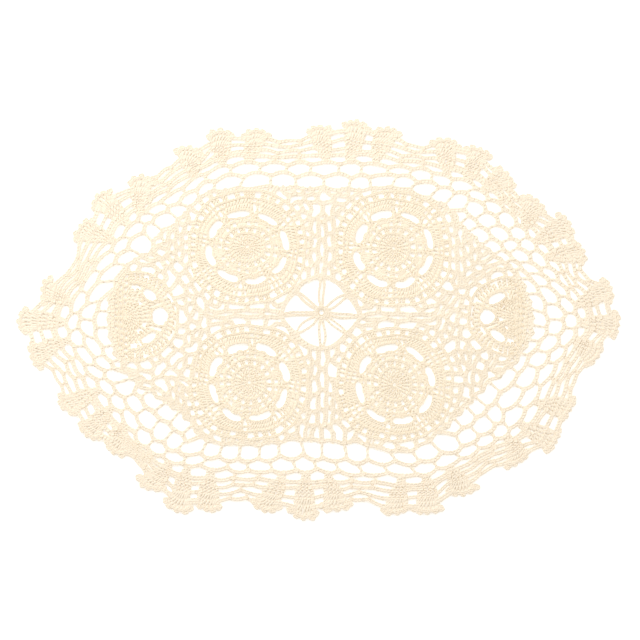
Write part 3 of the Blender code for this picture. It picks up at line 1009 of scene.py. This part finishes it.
def node_between(corners, lines):
    """Where the chains between some cells meet: corners holds each cell's seeds by its number."""
    middles = [sum(held, Vector((0, 0))) / len(held) for held in corners.values()]
    centre = sum(middles, Vector((0, 0)))
    centre /= len(corners)
    for owner in corners:
        if owner >= 0:
            centre = min(lines[owner][1], key=lambda place: (place - centre).length)
    return centre


def bridge(work, place, others):
    """A stitch from a motif to its neighbour or the edge of the ground, where they lie close."""
    reached = min(others, key=lambda corner: (corner - place).length)
    if SHORTEST_BRIDGE < (reached - place).length < LONGEST_BRIDGE:
        work.post(place, reached, BRIDGE_WIDTH)


def make_joining_net(material):
    """Chains along the sides between the cells, and a knot wherever three cells meet."""
    work = Crochet()
    lines = rims()
    cells = net_cells(lines)
    points, _, faces, originals = delaunay_2d_cdt(cells.seeds, [], [], 0, 0.001)[:4]
    cell_of = [cells.numbers[source[0]] for source in originals]
    nodes = []
    sides = {}
    for number, face in enumerate(faces):
        corners = {}
        for corner in face:
            corners.setdefault(cell_of[corner], []).append(points[corner])
        nodes.append(node_between(corners, lines))
        for one, two in ((0, 1), (1, 2), (2, 0)):
            sides.setdefault(tuple(sorted((face[one], face[two]))), []).append(number)
    meeting = set()
    for (one, two), pair in sides.items():
        first, second = cell_of[one], cell_of[two]
        if first >= 0 or second >= 0 or first == second or len(pair) != 2:
            continue
        start, end = nodes[pair[0]], nodes[pair[1]]
        if not SHORTEST_SIDE <= (end - start).length <= LONGEST_SIDE:
            continue
        work.chain([start, end], width=JOIN_WIDTH)
        for number in pair:
            if len({cell_of[corner] for corner in faces[number]}) == 3:
                meeting.add(number)
    for number in sorted(meeting):
        work.knot(nodes[number], RANDOM.uniform(0, math.pi))
    scalloped = []
    for step in range(SCALLOP_STEPS * LOOP_COUNT):
        dip = math.sin(math.pi * (step % SCALLOP_STEPS) / SCALLOP_STEPS)
        scalloped.append(ground(step / SCALLOP_STEPS, 0.03 - 0.08 * dip))
    work.ring(scalloped, CHAIN_HEIGHT, width=1.3)
    for owner, (_, line) in enumerate(lines[:-1]):
        others = [corner for _, other in lines[owner + 1:] for corner in other]
        for place in line[::2]:
            bridge(work, place, others)
    return work.made("lace_joining_net", material)


# Net ground, fingers and shells

# The rounds of the ground: where a round's knots lie, in loops and as a level, how far its chains
# swell out between them, and how far its knots stray from there
Round = namedtuple("Round", "shift level swell stray_along stray_out")
ROUNDS = (
    Round(0.0, 0.0, 0.0, 0.10, 0.0),
    Round(0.0, 0.44, 0.15, 0.17, 0.05),
    Round(0.5, 0.90, 0.12, 0.14, 0.04),
    Round(0.0, 1.22, 0.06, 0.12, 0.02),
)
ASTRAY = RANDOM.uniform(-1, 1, (len(ROUNDS), LOOP_COUNT, 2))
ARCH_HEIGHT = 0.06
ARCH_DROP = 0.04
GROUND_POST_WIDTH = 1.2

# The short row, in millimetres: the depth that two rounds fill, the depth from which the row grows
# in and over how much more, and its own least depth. Its highest level follows.
TWO_ROUNDS_DEEP = 17.5
SHORT_ROW_FROM = 19.0
SHORT_ROW_OVER = 4.0
SHORT_ROW_LEAST = 3.6
SHORT_ROW_MOST = 0.34
SHORT_ROW_POST = (0.38, 0.62)


def short_row(loops):
    """The level of the short row, worked where two rounds can't fill the ground, and its depth."""
    span = (ground(loops, 1.0) - ground(loops, 0.0)).length
    ease = eased((span - SHORT_ROW_FROM) / SHORT_ROW_OVER)
    return min(ease * (span - TWO_ROUNDS_DEEP) / span, SHORT_ROW_MOST), span


def has_short_row(loops):
    low, span = short_row(loops)
    return low * span >= SHORT_ROW_LEAST


def over_short_row(loops, level):
    """A point of the ground's rounds, which share what the short row leaves of the width."""
    if level >= 1:
        return ground(loops, level)
    low = short_row(loops)[0]
    return ground(loops, low + (1 - low) * level)


def knot_place(index, loop):
    """A knot of a round of the ground, in loops and as a level."""
    row = ROUNDS[index]
    along, out = ASTRAY[index, loop % LOOP_COUNT]
    return loop + row.shift + row.stray_along * along, row.level + row.stray_out * out


def make_short_row(work, loop):
    """One cell of the short row, from half a loop before a loop's post to half a loop past it."""
    if not has_short_row(loop):
        return
    line = []
    for part in np.linspace(-0.5, 0.5, 7):
        arch = ARCH_HEIGHT * math.cos(math.pi * part)
        level = short_row(loop + part)[0] + arch - ARCH_DROP
        if not has_short_row(loop + math.copysign(1, part)):
            level *= 1 - 2 * abs(part)
        line.append(ground(loop + part, level))
    work.chain(line, width=NET_WIDTH)
    if has_short_row(loop + 1):
        foot = ground(loop + RANDOM.uniform(*SHORT_ROW_POST), 0.0)
        head = ground(loop + 0.5, short_row(loop + 0.5)[0])
        work.post(foot, head, GROUND_POST_WIDTH)
        work.knot(foot)
        work.knot(head)


def make_ground_loop(work, loop):
    """One cell of each round of the ground, and the flat cell over them."""
    for index, row in enumerate(ROUNDS[1:], 1):
        start = knot_place(index, loop)
        end = knot_place(index, loop + 1)
        line = []
        for part in np.linspace(0, 1, 9):
            loops = start[0] + (end[0] - start[0]) * part
            level = start[1] + (end[1] - start[1]) * part
            line.append(over_short_row(loops, level + row.swell * math.sin(math.pi * part) ** 0.8))
        work.chain(line, width=NET_WIDTH)
        # the stitch that holds this round's knot to the chain below it
        if index > 1:
            shift = 0 if index == 2 else -1
            before = knot_place(index - 1, loop + shift)
            after = knot_place(index - 1, loop + shift + 1)
            swell = ROUNDS[index - 1].swell * 0.85
            foot = over_short_row((before[0] + after[0]) / 2, (before[1] + after[1]) / 2 + swell)
        elif has_short_row(loop):
            foot = over_short_row(*knot_place(0, loop))
        else:
            foot = ground(loop, 0.0)
        head = over_short_row(start[0], start[1] + 0.03)
        work.post(foot, head, GROUND_POST_WIDTH)
        yaw = math.atan2(head.y - foot.y, head.x - foot.x)
        work.knot(foot, yaw)
        work.knot(head, yaw)


# A side finger's place in loops from the middle one, at its root and what a level adds
FINGER_LOOPS = 0.96
FINGER_SPREAD = 0.33


def finger_point(base, side, out, across=0.0):
    """A point of a finger's column: side is -1, 0 or 1, across is millimetres from its middle."""
    loops = base + side * (FINGER_LOOPS + FINGER_SPREAD * (out - 1))
    here = ground(loops, out)
    ahead = ground(loops, out + 0.05) - here
    aside = right_of(ahead).normalized()
    return here + aside * across


# The tiers of a finger: the levels between which it lies, its stitches side by side, and its half
# width at its foot and at its top, in millimetres
Tier = namedtuple("Tier", "low high columns narrow wide")
FINGER_TIERS = (
    Tier(1.03, 1.26, 3, 1.2, 2.6),
    Tier(1.26, 1.50, 4, 2.6, 4.6),
    Tier(1.50, 1.74, 5, 4.6, 5.6),
)
RUNG_LEVELS = (1.41, 1.68)
RUNG_INSET = 0.6
RIM_CHAIN_LEVEL = 1.94
RIM_CHAIN_INSET = 0.3


def finger_half_width(out):
    """Half the width of a finger at a level, in millimetres."""
    for tier in FINGER_TIERS:
        if out <= tier.high:
            break
    part = (out - tier.low) / (tier.high - tier.low)
    return tier.narrow + (tier.wide - tier.narrow) * part


def make_edging(name, groups, material):
    """The net ground, the fingers, the shells and the cells between them of some groups."""
    work = Crochet()
    for index in groups:
        base = index * LOOPS_PER_GROUP
        for loop in range(base - 2, base + 3):
            make_short_row(work, loop)
            make_ground_loop(work, loop)
        for side in (-1, 0, 1):
            for tier in FINGER_TIERS:
                for column in range(tier.columns):
                    part = 2 * column / (tier.columns - 1) - 1
                    foot = finger_point(base, side, tier.low, part * tier.narrow)
                    top = finger_point(base, side, tier.high, part * tier.wide)
                    work.post(foot, top, BLOCK_WIDTH, 1.3)
            shell(work, base + side * SIDE_SHELL_LOOPS, base, side)
        for side in (-1, 1):
            one = ground(base + side * RIM_CHAIN_INSET, RIM_CHAIN_LEVEL)
            two = ground(base + side * (SIDE_SHELL_LOOPS - RIM_CHAIN_INSET), RIM_CHAIN_LEVEL)
            work.chain([one, two], RING_HEIGHT, width=JOIN_WIDTH)
            for level in RUNG_LEVELS:
                out = level + RANDOM.uniform(-0.03, 0.03)
                reach = finger_half_width(out) - RUNG_INSET
                here = finger_point(base, 0, out, side * reach)
                there = finger_point(base, side, out, -side * reach)
                work.chain([here, there], width=VALLEY_WIDTH)
                work.knot(here)
                work.knot(there)
        valley(work, base)
    return work.made(name, material)


# How far the shells of each group reach to each side and outwards, in millimetres
SHELL_SIZES = (
    (8.3, 4.8), (8.3, 4.8), (8.3, 4.6), (8.3, 4.4), (8.2, 3.8), (8.0, 2.6), (8.8, 3.9),
    (9.1, 4.6), (8.8, 4.8), (8.5, 4.8), (8.8, 4.6), (8.3, 4.8),
)

# A shell's stitches, its chain and its picots. Turns are in degrees, sizes are shares of the shell.
SHELL_FOOT_LEVEL = 1.70
SHELL_FOOT_REACH = 5.4
SHELL_POSTS = 9
SHELL_TURN = 100
SHELL_POST_SIZE = 0.74
SHELL_CHAIN_SIZE = 0.76
PICOTS = 5
PICOT_TURN = 78
PICOT_REACH = 12
PICOT_FOOT_SIZE = 0.80
PICOT_TIP_SIZE = (0.98, 1.17)
PICOT_PITCH = 1.5


def shell(work, loops, base, side):
    """A fan of tall stitches on its finger, with a chain and picots round it."""
    wide, high = SHELL_SIZES[base // LOOPS_PER_GROUP]
    middle = ground(loops, 2.0)
    outwards = (middle - ground(loops, 1.3)).normalized()
    aside = right_of(outwards)
    foot = finger_point(base, side, SHELL_FOOT_LEVEL)

    def at(degrees, size):
        angle = math.radians(degrees)
        reach = aside * wide * math.sin(angle) + outwards * high * math.cos(angle)
        return middle + reach * size

    for step in range(SHELL_POSTS):
        part = 2 * step / (SHELL_POSTS - 1) - 1
        start = foot + aside * part * SHELL_FOOT_REACH
        end = at(part * SHELL_TURN, SHELL_POST_SIZE)
        work.post(start, end, BLOCK_WIDTH, 1.2)
    turns = range(-SHELL_TURN, SHELL_TURN + 1, 20)
    work.chain(curved([at(turn, SHELL_CHAIN_SIZE) for turn in turns]), RING_HEIGHT)
    for step in range(PICOTS):
        turn = (2 * step / (PICOTS - 1) - 1) * PICOT_TURN
        turn += RANDOM.uniform(-4, 4)
        tip = at(turn, RANDOM.uniform(*PICOT_TIP_SIZE))
        outer = (tip - middle).normalized()
        tangent = right_of(outer)
        loop = [
            at(turn - PICOT_REACH, PICOT_FOOT_SIZE),
            tip - tangent * 1.1 - outer * 1.0,
            tip,
            tip + tangent * 1.1 - outer * 1.0,
            at(turn + PICOT_REACH, PICOT_FOOT_SIZE),
        ]
        work.chain(curved(loop), CHAIN_HEIGHT, pitch=PICOT_PITCH)


# The rows of flat cells between two groups: where each lies, its first and last loop, its cells
ValleyRow = namedtuple("ValleyRow", "low high start end cells")
VALLEY_ROWS = (
    ValleyRow(1.25, 1.50, 1.2, 3.8, 3),
    ValleyRow(1.50, 1.75, 1.3, 3.7, 2),
    ValleyRow(1.75, 1.99, 1.4, 3.6, 3),
)


def valley(work, base):
    """Rows of flat cells between two groups, under arches of chain, out to the rim."""
    for row in VALLEY_ROWS:
        span = (row.end - row.start) / row.cells
        for step in range(row.cells):
            left = row.start + span * step
            line = []
            for part in np.linspace(0, 1, 7):
                arch = ARCH_HEIGHT * math.sin(math.pi * part)
                line.append(ground(base + left + span * part, row.high + arch - ARCH_DROP))
            work.chain(line, width=VALLEY_WIDTH)
            if step:
                foot = ground(base + left, row.low)
                head = ground(base + left, row.high - ARCH_DROP)
                work.post(foot, head, 1.0)
                work.knot(foot, size=0.8)
                work.knot(head, size=0.8)


# Floor

FLOOR_CORNERS = ((-6, -6, 0), (6, -6, 0), (6, 6, 0), (-6, 6, 0))
TABLE_SURFACE = {
    "Base Color": (0.93, 0.93, 0.93, 1.0),
    "Roughness": 0.9,
    "Emission Color": (1.0, 1.0, 1.0, 1.0),
    "Emission Strength": 0.30,
}

floor_mesh = bpy.data.meshes.new("floor")
floor_mesh.from_pydata(FLOOR_CORNERS, [], [(0, 1, 2, 3)])
floor = bpy.data.objects.new("floor", floor_mesh)
bpy.context.scene.collection.objects.link(floor)
paper = bpy.data.materials.new("white_table")
paper.use_nodes = True
set_inputs(paper.node_tree.nodes["Principled BSDF"], TABLE_SURFACE)
floor_mesh.materials.append(paper)

# Pieces

# Each cotton's first colour is its own and its second is the painted shade low in the lace
medallion_cotton = cotton("cream_cotton_medallions", (0.87, 0.77, 0.615), (0.845, 0.68, 0.43))
# The net's cotton is painted a little darker than the rest: painted shade that offsets the extra
# light its single threads catch
net_cotton_painted_darker = cotton("cream_cotton_net", (0.85, 0.755, 0.615), (0.81, 0.655, 0.415))
edging_cotton = cotton("cream_cotton_edging", (0.87, 0.77, 0.63), (0.835, 0.67, 0.435))

pieces = [
    (make_medallion(row, medallion_cotton), row.name, "cotton_medallions") for row in MEDALLIONS
]
pieces += [
    (make_half_medallion(row, gaps, medallion_cotton), row.name, "cotton_medallions")
    for row, gaps in zip(HALF_MEDALLIONS, HALF_MEDALLION_GAPS)
]
pieces.append((make_star(net_cotton_painted_darker), "centre_star", "cotton_net"))
pieces.append((make_joining_net(net_cotton_painted_darker), "joining_net", "cotton_net"))
for name, side in (("lace_edging_left", -1), ("lace_edging_right", 1)):
    groups = [index for index, group in enumerate(GROUPS) if side * group.root[0] > 0]
    pieces.append((make_edging(name, groups, edging_cotton), "net_edging", "cotton_edging"))

for piece, node, slot in pieces:
    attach(piece, "root")
    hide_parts(node)
    corners = [Vector(corner) for corner in piece.bound_box]
    surface = sum(face.area for face in piece.data.polygons)

# Light and camera

STUDIO_SKY = {"Color": (1.0, 0.995, 0.985, 1.0), "Strength": 0.68}

world = bpy.data.worlds.new("studio")
bpy.context.scene.world = world
world.use_nodes = True
set_inputs(world.node_tree.nodes["Background"], STUDIO_SKY)


def soft_light(name, place, size, watts):
    """A round lamp that looks at the middle of the doily."""
    data = bpy.data.lights.new(name, "AREA")
    data.shape = "DISK"
    data.size = size
    data.energy = watts
    light = bpy.data.objects.new(name, data)
    light.location = place
    light.rotation_euler = (-Vector(place)).to_track_quat("-Z", "Y").to_euler()
    bpy.context.scene.collection.objects.link(light)


soft_light("key", (-0.7, 0.85, 1.0), 0.6, 12.6)
soft_light("fill", (1.0, 0.5, 1.7), 1.4, 6.2)

CAMERA_ELEVATION = 75.0
CAMERA_LENS = 420.0
SENSOR_WIDTH = 36.0
CAMERA_TARGET = Vector((0.0003, -0.0008, 0.0))
DOILY_WIDTH = 0.38
PHOTO_PIXELS = 640
DOILY_PIXELS = 604
FRAME_WIDTH = DOILY_WIDTH * PHOTO_PIXELS / DOILY_PIXELS
camera_data = bpy.data.cameras.new("camera")
camera_data.lens = CAMERA_LENS
camera_data.sensor_width = SENSOR_WIDTH
camera = bpy.data.objects.new("camera", camera_data)
bpy.context.scene.collection.objects.link(camera)
distance = FRAME_WIDTH * CAMERA_LENS / SENSOR_WIDTH
elevation = math.radians(CAMERA_ELEVATION)
view_from = Vector((0.0, -math.cos(elevation), math.sin(elevation)))
camera.location = CAMERA_TARGET + view_from * distance
camera.rotation_euler = (-view_from).to_track_quat("-Z", "Y").to_euler()
bpy.context.scene.camera = camera
bpy.context.scene.view_settings.view_transform = "Standard"
bpy.context.scene.view_settings.look = "None"
